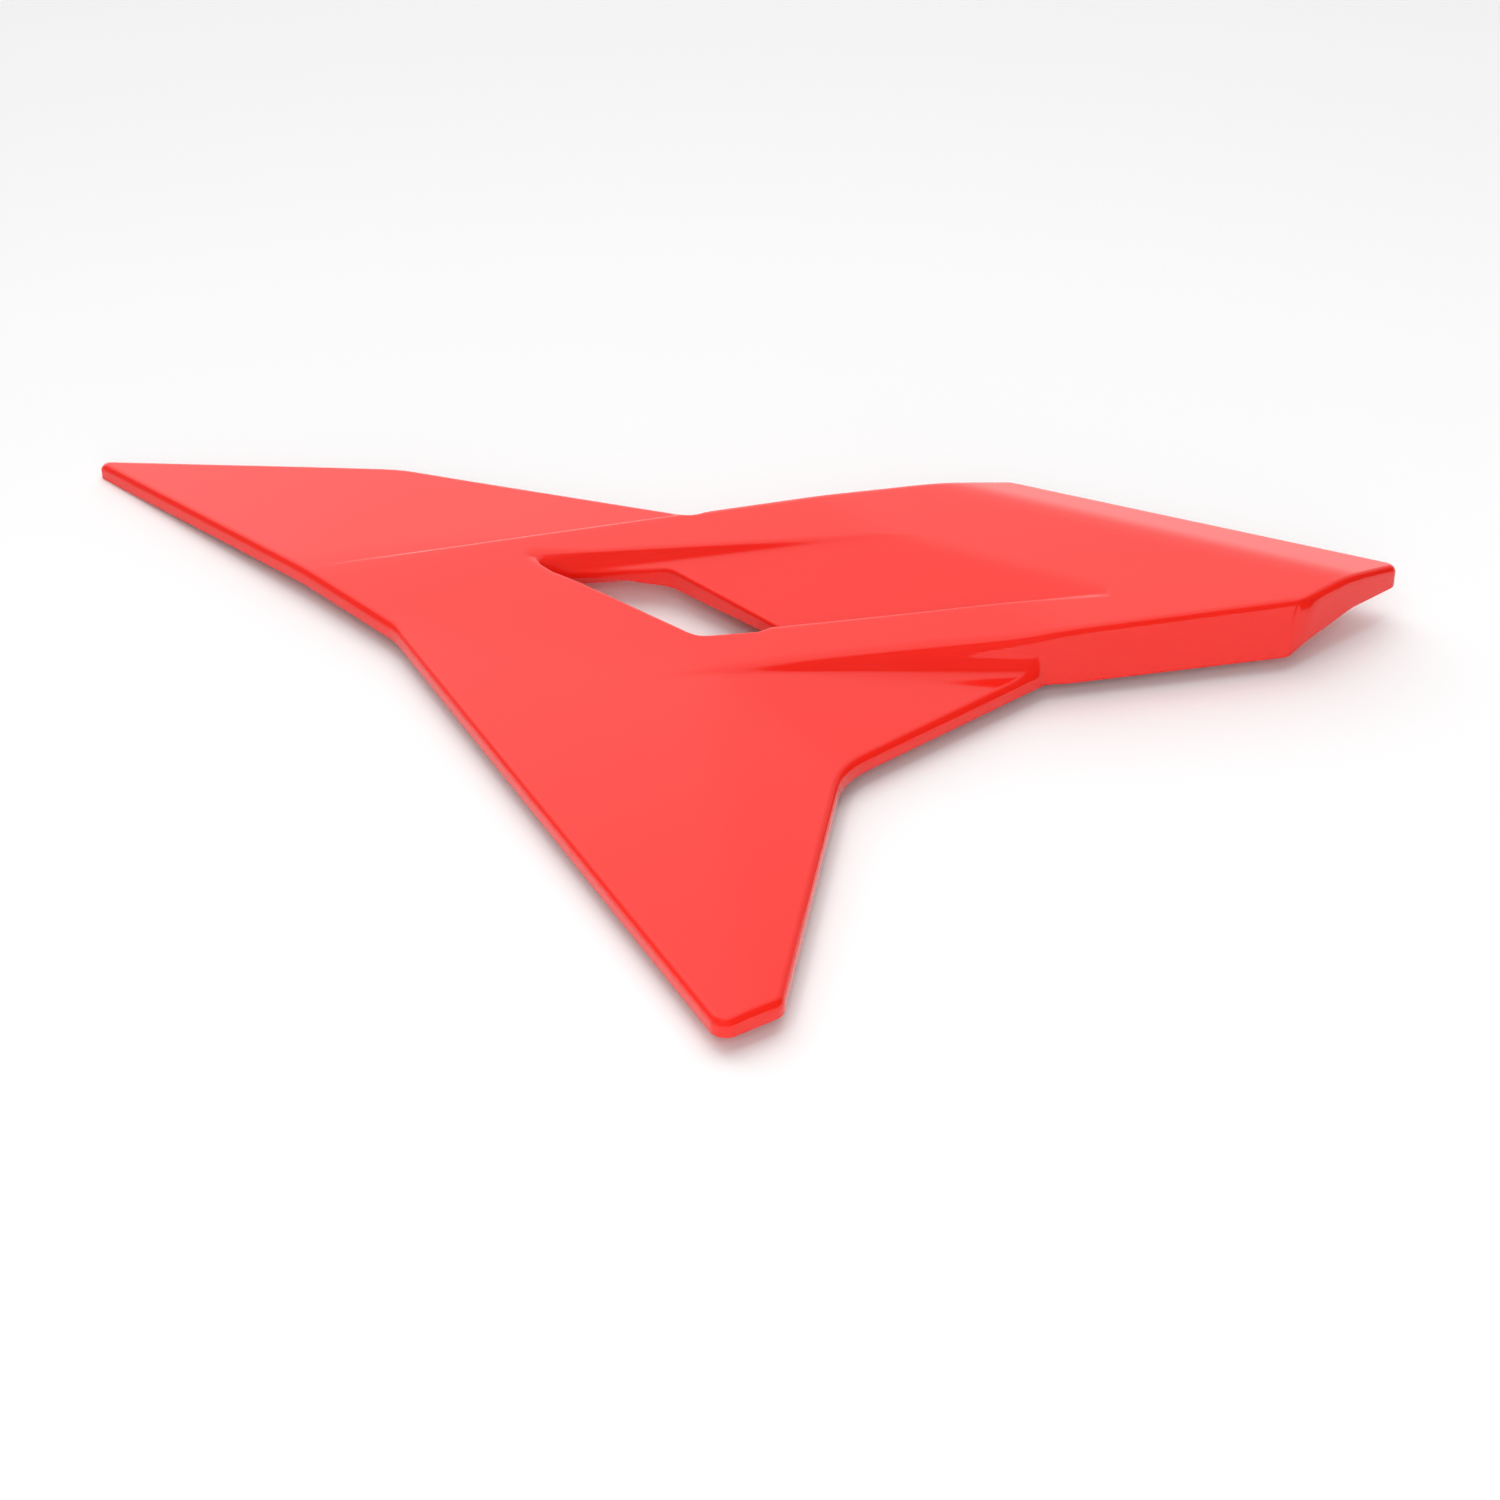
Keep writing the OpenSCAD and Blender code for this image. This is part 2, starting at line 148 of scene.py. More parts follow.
class Field:
    """Depth below the painted face at points over x, y."""

    def __init__(self, x, y, hole=None):
        self.x, self.y = x, y
        # Distance outside the scoop's border
        self.border = -polygon_distance(x, y, SCOOP_BORDER)
        self.hole = hole
        self.crease_k = 0.9 - 0.75 * step(-150, -60, x)
        # The gusset runs into the flank with a hollow that widens rearwards
        self.join_k = 0.7 + 0.5 * step(-40, 4, x) + 7.5 * step(20, 90, x)
        # The flank starts at a point and gets steeper rearwards
        px, py, pz, run, fall = FLANK_FOOT
        self.foot_y = py + run * (x - px)
        self.foot_z = pz + fall * (x - px)
        self.twist = 1.1 + 4.9 * step(10, 125, x)
        self.flank_k = 3.4 + 2.6 * np.exp(-((x - 80) / 35) ** 2)
        past_crease = -0.154 * (x + 165) + 0.988 * (y - 97)
        self.ridge = RIDGE * step(-170, -95, x) * step(-0.4, 1.0, past_crease)
        self.ridge *= step(-8, -16, x)
        # The wing's facets sink under the body away from the wing
        self.off_wing = 0.012 * np.maximum(y - 58, 0) ** 2
        self.off_wing += 0.05 * np.maximum(-146 - x, 0) ** 2
        # The scoop fades in at its front end
        self.border_k = 1.0 + 6.0 * (1 - step(-80, -58, x))
        self.hole_k = 1.8 + 2.4 * (1 - step(-72, -54, x))
        self.scoop_k = 2.0 + 4.5 * (1 - step(-85, -50, x))
        # The tank flank ends at the front wing
        self.tank_off = 500 * step(-12.5, -13.5, x)

    def __call__(self, z):
        x, y = self.x, self.y
        body = smooth_min(below(NOSE, x, y, z), below(BACK, x, y, z), TOP_JOIN)
        body = smooth_min(body, below(FRONT_WING, x, y, z), self.crease_k)
        body = smooth_min(body, below(REAR_END, x, y, z), ROLL_JOIN)
        front = self.foot_z + self.twist * (y - self.foot_y) - z
        front = front / np.sqrt(1 + self.twist ** 2)
        flank = smooth_min(below(FLANK, x, y, z), front, FLANK_FRONT_JOIN)
        body = smooth_min(body, flank, self.flank_k) - self.ridge
        tank = below(TANK_FLANK, x, y, z) + self.tank_off
        body = smooth_min(body, tank, TANK_JOIN)
        rear = smooth_max(below(WING_REAR, x, y, z), below(WING_GUSSET, x, y, z), GUSSET_JOIN)
        wing = smooth_min(below(WING_FRONT, x, y, z), rear, WING_JOIN)
        wing = smooth_min(wing, below(WING_END, x, y, z), WING_END_JOIN) - self.off_wing
        f = smooth_max(body, wing, self.join_k)
        scoop = smooth_max(below(RAMP, x, y, z), below(RAMP_WALL, x, y, z), RAMP_JOIN)
        scoop = smooth_max(scoop, below(NEAR_WALL, x, y, z), NEAR_WALL_JOIN)
        scoop = smooth_max(scoop, self.border, self.border_k)
        f = smooth_min(f, scoop, self.scoop_k)
        if self.hole is not None:
            f = smooth_min(f, self.hole, self.hole_k)
        return f

    def height(self, depth):
        """Height where the field is at a depth, which may differ from point to point."""
        low = np.full(self.x.shape, SEARCH[0])
        high = np.full(self.x.shape, SEARCH[1])
        for _ in range(HALVINGS):
            mid = (low + high) / 2
            over = self(mid) > depth
            low = np.where(over, mid, low)
            high = np.where(over, high, mid)
        return (low + high) / 2


def hole_distance(x, y):
    """Distance outside the vent, negative within it."""
    return -polygon_distance(x, y, VENT_LINE)


def surface(x, y, with_hole=True, depth=0.0):
    """Heights and unit normals of the face at a depth."""
    h = 0.02
    n = len(x)
    xs = np.concatenate([x, x + h, x - h, x, x])
    ys = np.concatenate([y, y, y, y + h, y - h])
    hole = np.maximum(hole_distance(xs, ys), 0.0) if with_hole else None
    centre = Field(x, y, None if hole is None else hole[:n])
    z = centre.height(depth)
    f = Field(xs, ys, hole)(np.tile(z, 5)).reshape(5, n)
    up, down = centre(z + h), centre(z - h)
    grad = np.stack([f[1] - f[2], f[3] - f[4], up - down], 1)
    grad = -grad / np.maximum(np.linalg.norm(grad, axis=1, keepdims=True), 1e-12)
    return z, grad


# ---------------------------------------------------------------- outlines
def unit(v):
    return v / np.linalg.norm(v)


def ring(corners, offset, spacing, arc_step=6.0):
    """Closed line of points moved inwards by an offset, with outward normals.
    The count is the same for every offset."""
    n = len(corners)
    flat = [np.array(c[:2], float) for c in corners]
    edges = [unit(flat[(i + 1) % n] - flat[i]) for i in range(n)]

    def at(d):
        arcs = []
        for i in range(n):
            u, w = edges[i - 1], edges[i]
            nu, nw = np.array([-u[1], u[0]]), np.array([-w[1], w[0]])
            q = flat[i] + d * (nu + nw) / (1 + nu @ nw)
            turn = math.atan2(u[0] * w[1] - u[1] * w[0], u @ w)
            r = corners[i][2]
            r = max(r - d, 0.2) if turn > 0 else r + d
            start = q - r * math.tan(abs(turn) / 2) * u
            side = math.copysign(1, turn) * nu
            steps = max(3, math.ceil(math.degrees(abs(turn)) / arc_step))
            points, normals = [], []
            for j in range(steps + 1):
                a = turn * j / steps
                c, s = math.cos(a), math.sin(a)
                v = np.array([side[0] * c - side[1] * s, side[0] * s + side[1] * c])
                points.append(start + r * side - r * v)
                normals.append(-v * math.copysign(1, turn))
            arcs.append((points, normals))
        return arcs

    base, moved = at(0.0), at(offset)
    points, normals = [], []
    for i in range(n):
        points += moved[i][0]
        normals += moved[i][1]
        a, b = base[i][0][-1], base[(i + 1) % n][0][0]
        cuts = max(1, round(np.linalg.norm(b - a) / spacing))
        p, q = moved[i][0][-1], moved[(i + 1) % n][0][0]
        for j in range(1, cuts):
            points.append(p + (q - p) * j / cuts)
            normals.append(moved[i][1][-1])
    return np.array(points), np.array(normals)


# The vent's outline, with its corners rounded and no points along its straight sides
VENT_LINE = as_tuples(ring(VENT, 0.0, 400.0)[0])


def vent_foot(x):
    """Height of the vent's lower edge along the scoop wall and the ledge."""
    return 8.0 + 2.2 * step(-20, -45, x)


def lower_edge(x, y):
    """Height of the panel's lower edge."""
    wing = FRONT_WING[2] + FRONT_WING[3] * (x - FRONT_WING[0]) - LIP
    px, py, slope = FRONT_LIMIT
    zone = np.where(y > py + slope * (x - px), 1.0, 0.0) * (1 - step(-24, -13, x))
    z = RIM + zone * (wing - RIM)
    near = np.interp(x, *zip(*REAR_RISE))
    far = RIM + (REAR_RIM - RIM) * step(101, 110, x)
    return np.where(y < 88, np.where(x > 200, near, z), np.where(x > 60, far, z))


# ------------------------------------------------------------------ meshes
class Shell:
    """Collects points and faces. A point may have the normal of a curved face."""

    def __init__(self):
        self.points, self.bends = [], []
        self.faces, self.normals = [], []
        self.count = 0

    def vertices(self, points, normals=None):
        start = self.count
        self.points.append(np.asarray(points, float))
        self.bends.append(np.zeros((len(points), 3)) if normals is None else normals)
        self.count += len(points)
        return start

    def row(self, flat, z, normals=None):
        """Numbers of new points over a flat line."""
        start = self.vertices(np.column_stack([flat, z]), normals)
        return start + np.arange(len(flat))

    def add(self, faces, curved=False):
        """Faces index the shell's points. Curved ones take the points' normals."""
        table = np.concatenate(self.bends) if curved else None
        for face in faces:
            face = tuple(int(i) for i in face)
            self.faces.append(face)
            self.normals += [tuple(table[i]) if curved else (0.0, 0.0, 0.0) for i in face]

    def band(self, a, b, count, flip=False):
        """Quads between two closed rows of points that start at a and b."""
        faces = []
        for i in range(count):
            j = (i + 1) % count
            face = (a + i, a + j, b + j, b + i)
            faces.append(face[::-1] if flip else face)
        self.add(faces)

    def join(self, first, second, curved=False, flip=False):
        """Quads between two closed rows, given as the numbers of their points."""
        faces = []
        for i in range(len(first)):
            j = (i + 1) % len(first)
            if flip:
                faces.append((first[i], first[j], second[j], second[i]))
            else:
                faces.append((first[i], second[i], second[j], first[j]))
        self.add(faces, curved)

    def object(self, name):
        mesh = bpy.data.meshes.new(name)
        points = (np.concatenate(self.points) + CENTRING) * MM
        mesh.from_pydata(points.tolist(), [], self.faces)
        mesh.polygons.foreach_set("use_smooth", np.ones(len(mesh.polygons), bool))
        mesh.update()
        mark_sharp(mesh, SHARP)
        normals = np.array(self.normals)
        if np.abs(normals).max() > 0:
            mesh.normals_split_custom_set(normals.tolist())
        obj = bpy.data.objects.new(name, mesh)
        bpy.context.scene.collection.objects.link(obj)
        return obj


def mark_sharp(mesh, angle):
    """Marks the edges between faces that bend by more than an angle in degrees."""
    limit = math.cos(math.radians(angle))
    sides = {}
    normals = [p.normal.copy() for p in mesh.polygons]
    for p in mesh.polygons:
        for key in p.edge_keys:
            sides.setdefault(key, []).append(p.index)
    for edge in mesh.edges:
        near = sides.get(edge.key, [])
        if len(near) == 2 and normals[near[0]].dot(normals[near[1]]) < limit:
            edge.use_edge_sharp = True


def adaptive_points(test, region, rules):
    """Points of a grid that is finer where the face bends. rules give, for each
    size, the bend in degrees that splits a square of that size."""
    size = max(rules)
    (west, east), (south, north) = (-266, 262), (-184, 190)
    xs = np.arange(west, east, size)
    ys = np.arange(south, north, size)
    cx, cy = [a.ravel() for a in np.meshgrid(xs, ys)]
    kept = []
    while len(cx):
        keep = region(cx, cy) > -0.75 * size
        cx, cy = cx[keep], cy[keep]
        if size not in rules:
            kept.append((cx, cy, np.full(len(cx), size)))
            break
        h = size / 2
        px = np.concatenate([cx, cx - h, cx + h, cx - h, cx + h])
        py = np.concatenate([cy, cy - h, cy - h, cy + h, cy + h])
        normals = test(px, py).reshape(5, -1, 3)
        dots = np.min(np.sum(normals[1:] * normals[:1], axis=2), axis=0)
        split = dots < math.cos(math.radians(rules[size]))
        kept.append((cx[~split], cy[~split], np.full((~split).sum(), size)))
        cx, cy = cx[split], cy[split]
        q = size / 4
        cx = np.concatenate([cx - q, cx + q, cx - q, cx + q])
        cy = np.concatenate([cy - q, cy - q, cy + q, cy + q])
        size = h
    x = np.concatenate([k[0] for k in kept])
    y = np.concatenate([k[1] for k in kept])
    return x, y, np.concatenate([k[2] for k in kept])


def triangulate(loops, x, y):
    """Delaunay triangles inside the first loop and outside the others."""
    points, edges = [], []
    for loop in loops:
        start = len(points)
        points += [Vector((float(p[0]), float(p[1]))) for p in loop]
        edges += [(start + i, start + (i + 1) % len(loop)) for i in range(len(loop))]
    fixed = len(points)
    points += [Vector((float(a), float(b))) for a, b in zip(x, y)]
    verts, _, tris, source, _, _ = delaunay_2d_cdt(points, edges, [], 0, 1e-7)
    at = np.array([[v.x, v.y] for v in verts])
    tris = np.array([t for t in tris if len(t) == 3])
    mid = at[tris].mean(axis=1)
    inside = polygon_distance(mid[:, 0], mid[:, 1], as_tuples(loops[0])) > 0
    for loop in loops[1:]:
        inside &= polygon_distance(mid[:, 0], mid[:, 1], as_tuples(loop)) < 0
    index = {}
    for i, s in enumerate(source):
        for j in s:
            if j < fixed:
                index[j] = i
    a, b, c = (at[tris[:, i]] for i in range(3))
    area = (b[:, 0] - a[:, 0]) * (c[:, 1] - a[:, 1]) - (b[:, 1] - a[:, 1]) * (c[:, 0] - a[:, 0])
    tris = np.where((area < 0)[:, None], tris[:, ::-1], tris)
    return at, tris[inside], [index[j] for j in range(fixed)]


def painted_face(shell, inner):
    """The face within the rounded edge. Returns the numbers of the points along
    the edge and round the vent, and the heights of the latter."""
    hole_ring, _ = ring(VENT, -0.03, VENT_STEP)
    limit = as_tuples(inner)

    def region(x, y):
        return np.minimum(polygon_distance(x, y, limit), hole_distance(x, y) + 0.5)

    def test(x, y):
        return surface(x, y)[1]

    x, y, size = adaptive_points(test, region, {8.0: 0.5, 4.0: 0.6, 2.0: 1.0, 1.0: 3.0, 0.5: 8.0})
    keep = (polygon_distance(x, y, limit) > 0.45 * np.minimum(size, 3.0)) & (
        hole_distance(x, y) > 0.03 + 0.3 * np.minimum(size, 0.8))
    flat, tris, fixed = triangulate([inner, hole_ring], x[keep], y[keep])
    z, normals = surface(flat[:, 0], flat[:, 1])
    start = shell.vertices(np.column_stack([flat, z]), normals)
    shell.add(tris + start, curved=True)
    fixed = np.array(fixed)
    edge, hole = fixed[:len(inner)], fixed[len(inner):]
    return start + edge, start + hole, hole_ring, z[hole]


def rounded_edge(shell, previous, edge, inward, out, radius, foot):
    """Rows from the painted face round the edge and under the lip."""
    rows = 9
    for j in range(1, rows + 1):
        angle = math.pi / 2 * (1 - j / rows)
        xy = edge + inward * (radius * (1 - math.cos(angle)))[:, None]
        z = Field(xy[:, 0], xy[:, 1]).height(radius * (1 - math.sin(angle)))
        _, face = surface(xy[:, 0], xy[:, 1], False)
        n = face * math.sin(angle)
        n[:, :2] += out * math.cos(angle)
        n /= np.linalg.norm(n, axis=1, keepdims=True)
        current = shell.row(xy, np.maximum(z, foot + 0.35), n)
        shell.join(previous, current, curved=True)
        previous = current
    # Lower edge: a small round, the flat, and back up inside
    level = np.column_stack([out, np.zeros(len(out))])
    for b, dz in ((0.0, 0.3), (0.1, 0.1), (0.35, 0.0), (WALL - 0.3, 0.0), (WALL, 0.25)):
        upright = b == 0.0
        current = shell.row(edge + inward * b, foot + dz, level if upright else None)
        shell.join(previous, current, curved=upright)
        previous = current
    return previous


def vent_wall(shell, previous, hole_ring, top):
    """Wall of the vent, its lower edge, and the outer side of that wall."""
    inner, _ = ring(VENT, 0.0, VENT_STEP)
    outer, _ = ring(VENT, -WALL, VENT_STEP)
    x, y = hole_ring.T
    corner_x, corner_y, _ = VENT[1]
    far_side = (y - corner_y + 0.855 * (x - corner_x) > 4) & (y > 47)
    foot = np.where(far_side, vent_foot(x), Field(x, y).height(LIP))
    outer_foot = np.minimum(Field(outer[:, 0], outer[:, 1]).height(LIP), foot + 1.0)
    foot = np.minimum(foot, top - 0.6)
    outer_foot = np.minimum(foot, outer_foot)
    across = outer - inner
    for xy, z in ((inner, top - 0.4), (inner, (top + foot) / 2), (inner, foot + 0.3),
                  (inner + across * 0.1, foot), (inner + across * 0.9, outer_foot),
                  (outer, outer_foot + 0.3)):
        current = shell.row(xy, z)
        shell.join(previous, current, flip=True)
        previous = current
    return previous, outer


def underside(shell, edge, hole, foot, lip_row, hole_row):
    """The face behind the skin, joined to the lip and to the vent's wall."""
    limit, hole_limit = as_tuples(edge), as_tuples(hole)

    def region(x, y):
        return np.minimum(polygon_distance(x, y, limit), -polygon_distance(x, y, hole_limit))

    def test(x, y):
        return surface(x, y, False, WALL)[1]

    x, y, size = adaptive_points(test, region, {8.0: 1.0, 4.0: 1.5, 2.0: 4.0, 1.0: 14.0})
    keep = region(x, y) > 0.45 * np.minimum(size, 3.0)
    flat, tris, fixed = triangulate([edge, hole], x[keep], y[keep])
    z, normals = surface(flat[:, 0], flat[:, 1], False, WALL)
    skin, _ = surface(flat[:, 0], flat[:, 1], False)
    z = np.maximum(z, np.minimum(lower_edge(flat[:, 0], flat[:, 1]) + 0.2, skin - 0.4))
    fixed = np.array(fixed)
    loop = fixed[:len(edge)]
    z[loop] = np.maximum(z[loop], foot + 0.3)
    start = shell.vertices(np.column_stack([flat, z]), -normals)
    shell.add((tris + start)[:, ::-1], curved=True)
    shell.join(lip_row, start + loop)
    shell.join(hole_row, start + fixed[len(edge):], flip=True)


def build_skin(shell):
    edge, out = ring(OUTLINE, 0.0, EDGE_STEP)
    inset, _ = ring(OUTLINE, FILLET, EDGE_STEP)
    inward = (inset - edge) / FILLET
    top, _ = surface(edge[:, 0], edge[:, 1], False)
    foot = np.minimum(lower_edge(edge[:, 0], edge[:, 1]), top - 0.5)
    radius = np.clip(0.5 * (top - foot), 0.25, FILLET)
    for _ in range(4):
        radius = np.minimum(radius, (np.roll(radius, 1) + radius + np.roll(radius, -1)) / 3)
    edge_row, vent_row, hole_ring, vent_top = painted_face(shell, edge + inward * radius[:, None])
    lip_row = rounded_edge(shell, edge_row, edge, inward, out, radius, foot)
    hole_row, hole = vent_wall(shell, vent_row, hole_ring, vent_top)
    underside(shell, edge + inward * WALL, hole, foot, lip_row, hole_row)


# ------------------------------------------------- parts behind the skin
BOSSES = [(-98, 84, 0.6), (-45, 26, 1.1), (12, 14, 0.2), (30, 118, 1.7), (198, 66, 2.3)]
TABS = [(92, 112, 12), (165, 78, 12)]
CLIPS = [(140, 31.6, 11.8, 7.2), (188, 41.6, 11.8, 7.8)]
PADS = [(-16, -95), (6, -140), (-190, 142)]
RIBS = [(-135, 84, 56, 9), (-72, 40, 118, -62), (-30, 10, 116, -66), (28, 18, 84, 12)]
INSERT_R, INSERT_L, INSERT_BORE = 3.5, 5.8, 2.1
GROMMET_R, NECK_R, FLANGE = 7.5, 5.8, 2.2
COLLAR_R, COLLAR_BORE, HEAD_R, HEAD_T = 4.3, 3.2, 7.0, 1.2
TAB_T, TAB_W, TAB_GAP = 3.0, 24.0, 1.5
BOSS_R, BOSS_ROOT_R, POCKET_GAP = 6.0, 7.4, 0.7
CLIP_W, CLIP_L, CLIP_T, CLIP_TAB_T = 15.0, 18.0, 0.8, 2.5
CLIP_HOLE_Y, CLIP_TAB_START, CLIP_TAB_L, CLIP_GAP = 16.0, 1.0, 24.0, 0.1
CLIP_HOLE_R, CLIP_NECK_R, CLIP_BORE_R = 3.5, 4.25, 2.5
FOAM_T, FOAM_W, PAD_R = 3.0, 9.0, 9.0
# Distances from a soft piece's rim where its rounding is drawn
RIM_STEPS = np.array([0, 0.15, 0.4, 0.8, 1.4])


def turned(a, b, turn):
    """Turns a vector by degrees."""
    c, s = math.cos(math.radians(turn)), math.sin(math.radians(turn))
    return c * a - s * b, s * a + c * b


def placed(points, x, y, z, turn, upright=False):
    """Turns local points about z, after standing them up where asked."""
    p = np.asarray(points, float)
    if upright:
        p = np.column_stack([p[:, 0], -p[:, 2], p[:, 1]])
    dx, dy = turned(p[:, 0], p[:, 1], turn)
    return np.column_stack([x + dx, y + dy, z + p[:, 2]])


def circle(radius, count):
    a = np.arange(count) * 2 * math.pi / count
    return np.column_stack([radius * np.cos(a), radius * np.sin(a)])


def lathe(shell, profile, place, sides=48, wave=None):
    """A closed profile of (radius, height) turned about z. wave moves a radius
    by an angle and a height."""
    a = np.arange(sides) * 2 * math.pi / sides
    rows = []
    for r, h in profile:
        radius = r + (wave(a, r, h) if wave else 0)
        turn = np.column_stack([radius * np.cos(a), radius * np.sin(a), np.full(sides, h)])
        rows.append(shell.vertices(place(turn)))
    for i in range(len(rows)):
        shell.band(rows[i], rows[(i + 1) % len(rows)], sides, flip=True)


def units(v):
    return v / np.linalg.norm(v, axis=1, keepdims=True)


def plate(shell, outline, holes, low, high, place, edge=0.25):
    """A flat plate with round holes and eased edges. Outlines run counter-clockwise."""
    loops = [np.asarray(outline, float)]
    loops += [circle(r, 36) + (x, y) for x, y, r in holes]
    eased = []
    for i, loop in enumerate(loops):
        run = units(np.roll(loop, -1, 0) - loop) - units(np.roll(loop, 1, 0) - loop)
        run = units(run)
        inward = np.column_stack([-run[:, 1], run[:, 0]]) * (1 if i == 0 else -1)
        eased.append(loop + inward * edge)
    at, tris, _ = triangulate(eased, [], [])
    for height, flip in ((high, False), (low, True)):
        start = shell.vertices(place(np.column_stack([at, np.full(len(at), height)])))
        shell.add((tris[:, ::-1] if flip else tris) + start)
    for i, loop in enumerate(loops):
        n = len(loop)
        levels = ((eased[i], high), (loop, high - edge), (loop, low + edge), (eased[i], low))
        rows = [shell.vertices(place(np.column_stack([flat, np.full(n, h)])))
                for flat, h in levels]
        for a, b in zip(rows, rows[1:]):
            shell.band(a, b, n, flip=i == 0)


def rounded_box(width, length, r):
    """Corners of a rectangle from (-width / 2, 0) to (width / 2, length)."""
    corners = [(-width / 2, 0, r), (width / 2, 0, r), (width / 2, length, r),
               (-width / 2, length, r)]
    return ring(corners, 0.0, 3.0, 15.0)[0]


def depth_height(x, y, depth):
    """Height of the surface at a depth below the painted face."""
    return Field(np.asarray(x, float), np.asarray(y, float)).height(depth)


def rib(shell, x, y, length, turn):
    """A rib that follows the underside, with a fillet at its root."""
    section = [(-3.0, 2.0), (-3.0, 2.55), (-1.7, 3.0), (-1.1, 3.8), (-0.9, 6.1), (-0.6, 6.45),
               (0, 6.5), (0.6, 6.45), (0.9, 6.1), (1.1, 3.8), (1.7, 3.0), (3.0, 2.55), (3.0, 2.0)]
    across = np.array([a for a, _ in section])
    full = np.array([d for _, d in section])
    slope_length = 9
    n = max(4, round(length / 3))
    rows = []
    for i in range(n + 1):
        t = length * i / n
        dx, dy = turned(t, across, turn)
        fade = min(1.0, min(t, length - t) / slope_length + 0.05)
        depth = np.where(full > WALL, WALL + (full - WALL) * fade, full)
        z = depth_height(x + dx, y + dy, depth)
        rows.append(shell.vertices(np.column_stack([x + dx, y + dy, z])))
    for a, b in zip(rows, rows[1:]):
        shell.band(a, b, len(section))
    shell.add([[rows[0] + i for i in range(len(section))][::-1],
               [rows[-1] + i for i in range(len(section))]])


def skin_top(p):
    """Height of the painted face over a point."""
    return float(depth_height([p[0]], [p[1]], 0.0)[0])


def tab_axis(p):
    """Height of the hole in an upright tab."""
    return skin_top(p) - WALL - GROMMET_R - TAB_GAP


def boss(shell, x, y, raised):
    """A screw boss that reaches the skin, with four small webs."""
    level = RIM + raised
    reach = skin_top((x, y)) - WALL - level
    pocket = INSERT_L + POCKET_GAP
    buried = reach + 0.8
    profile = [(INSERT_R, 0), (BOSS_R - 0.4, 0), (BOSS_R, 0.4), (BOSS_R + 0.05, reach - 1.6),
               (BOSS_R + 0.4, reach - 0.6), (BOSS_ROOT_R, reach), (BOSS_ROOT_R, buried),
               (0.05, buried), (0.05, pocket), (INSERT_R, pocket)]
    lathe(shell, profile, lambda q: placed(q, x, y, level, 0))
    web = np.array([(5.5, -0.6), (9.5, -0.6), (9.5, 0.6), (5.5, 0.6)])
    for turn in (45, 135, 225, 315):
        dx, dy = turned(web[:, 0], web[:, 1], turn)
        xy = np.column_stack([x + dx, y + dy])
        high = depth_height(xy[:, 0], xy[:, 1], 2.0)
        low = high - np.array([4.2, 0.9, 0.9, 4.2])
        a = shell.vertices(np.column_stack([xy, high]))
        b = shell.vertices(np.column_stack([xy, np.maximum(low, level + 1.2)]))
        shell.band(b, a, 4)
        shell.add([[b + 3, b + 2, b + 1, b], [a, a + 1, a + 2, a + 3]])


def upright_tab(shell, x, y, turn):
    """A tab that stands under the skin, with a grommet's hole and two side webs."""
    axis = tab_axis((x, y))
    top = skin_top((x, y)) - WALL + 0.4 - axis
    foot = NECK_R + 2
    shape = ring([(-TAB_W / 2, -foot, 4), (TAB_W / 2, -foot, 4), (TAB_W / 2, top, 0.5),
                  (-TAB_W / 2, top, 0.5)], 0.0, EDGE_STEP, 12.0)[0]
    plate(shell, shape, [(0, 0, NECK_R)], -TAB_T / 2, TAB_T / 2,
          lambda q: placed(q, x, y, axis, turn, True))
    web = ring([(1.2, top - 9, 0.3), (7, top - 1.5, 0.3), (7, top + 0.5, 0.2),
                (1.2, top + 0.5, 0.2)], 0.0, EDGE_STEP, 30.0)[0]
    for side in (-10.5, 10.5):
        def stand(q):
            return placed(np.column_stack([side + q[:, 2], q[:, 0], q[:, 1]]), x, y, axis, turn)
        plate(shell, web, [], -0.8, 0.8, stand, 0.1)


def build_structure(shell):
    for r in RIBS:
        rib(shell, *r)
    for p in BOSSES:
        boss(shell, *p)
    for p in TABS:
        upright_tab(shell, *p)
    for p in CLIPS:
        shape = rounded_box(CLIP_W - 2 * CLIP_GAP, CLIP_TAB_L, 1.0)
        shape[:, 1] += CLIP_TAB_START
        plate(shell, shape, [(0, CLIP_HOLE_Y, CLIP_HOLE_R)], 0, CLIP_TAB_T,
              lambda q, p=p: placed(q, p[0], p[1], RIM + p[3], p[2]))


def build_inserts():
    shell = Shell()

    def knurl(a, h):
        if h < 0.8 or h > INSERT_L - 0.5:
            return 0 * a
        return -0.09 + 0.09 * np.cos(24 * a + (h if h < INSERT_L / 2 else -h) * 1.5)

    def wave(a, r, h):
        if r >= INSERT_R - 0.2:
            return knurl(a, h)
        if r > INSERT_BORE + 0.35:
            return 0 * a
        pitch = 0.8
        threaded = 0.3 < h < INSERT_L - 0.3
        return 0.16 * (1 + np.cos(a - 2 * math.pi * h / pitch)) * threaded

    rim_r = INSERT_R - 0.3
    mouth_r = INSERT_BORE + 0.4
    profile = [(mouth_r, 0.0), (rim_r, 0.0)]
    profile += [(INSERT_R, h) for h in np.linspace(0.35, INSERT_L - 0.3, 14)]
    profile += [(rim_r, INSERT_L), (mouth_r, INSERT_L)]
    profile += [(INSERT_BORE, h) for h in np.linspace(INSERT_L - 0.35, 0.35, 42)]
    for p in BOSSES:
        lathe(shell, profile, lambda q, p=p: placed(q, p[0], p[1], RIM + p[2], 0), 72, wave)
    return shell.object("knurled_inserts")


def lathe_in_tabs(name, profile):
    """The same turned part in each upright tab."""
    shell = Shell()
    for p in TABS:
        axis = tab_axis(p)
        lathe(shell, profile, lambda q, p=p, axis=axis: placed(q, p[0], p[1], axis, p[2], True),
              56)
    return shell.object(name)


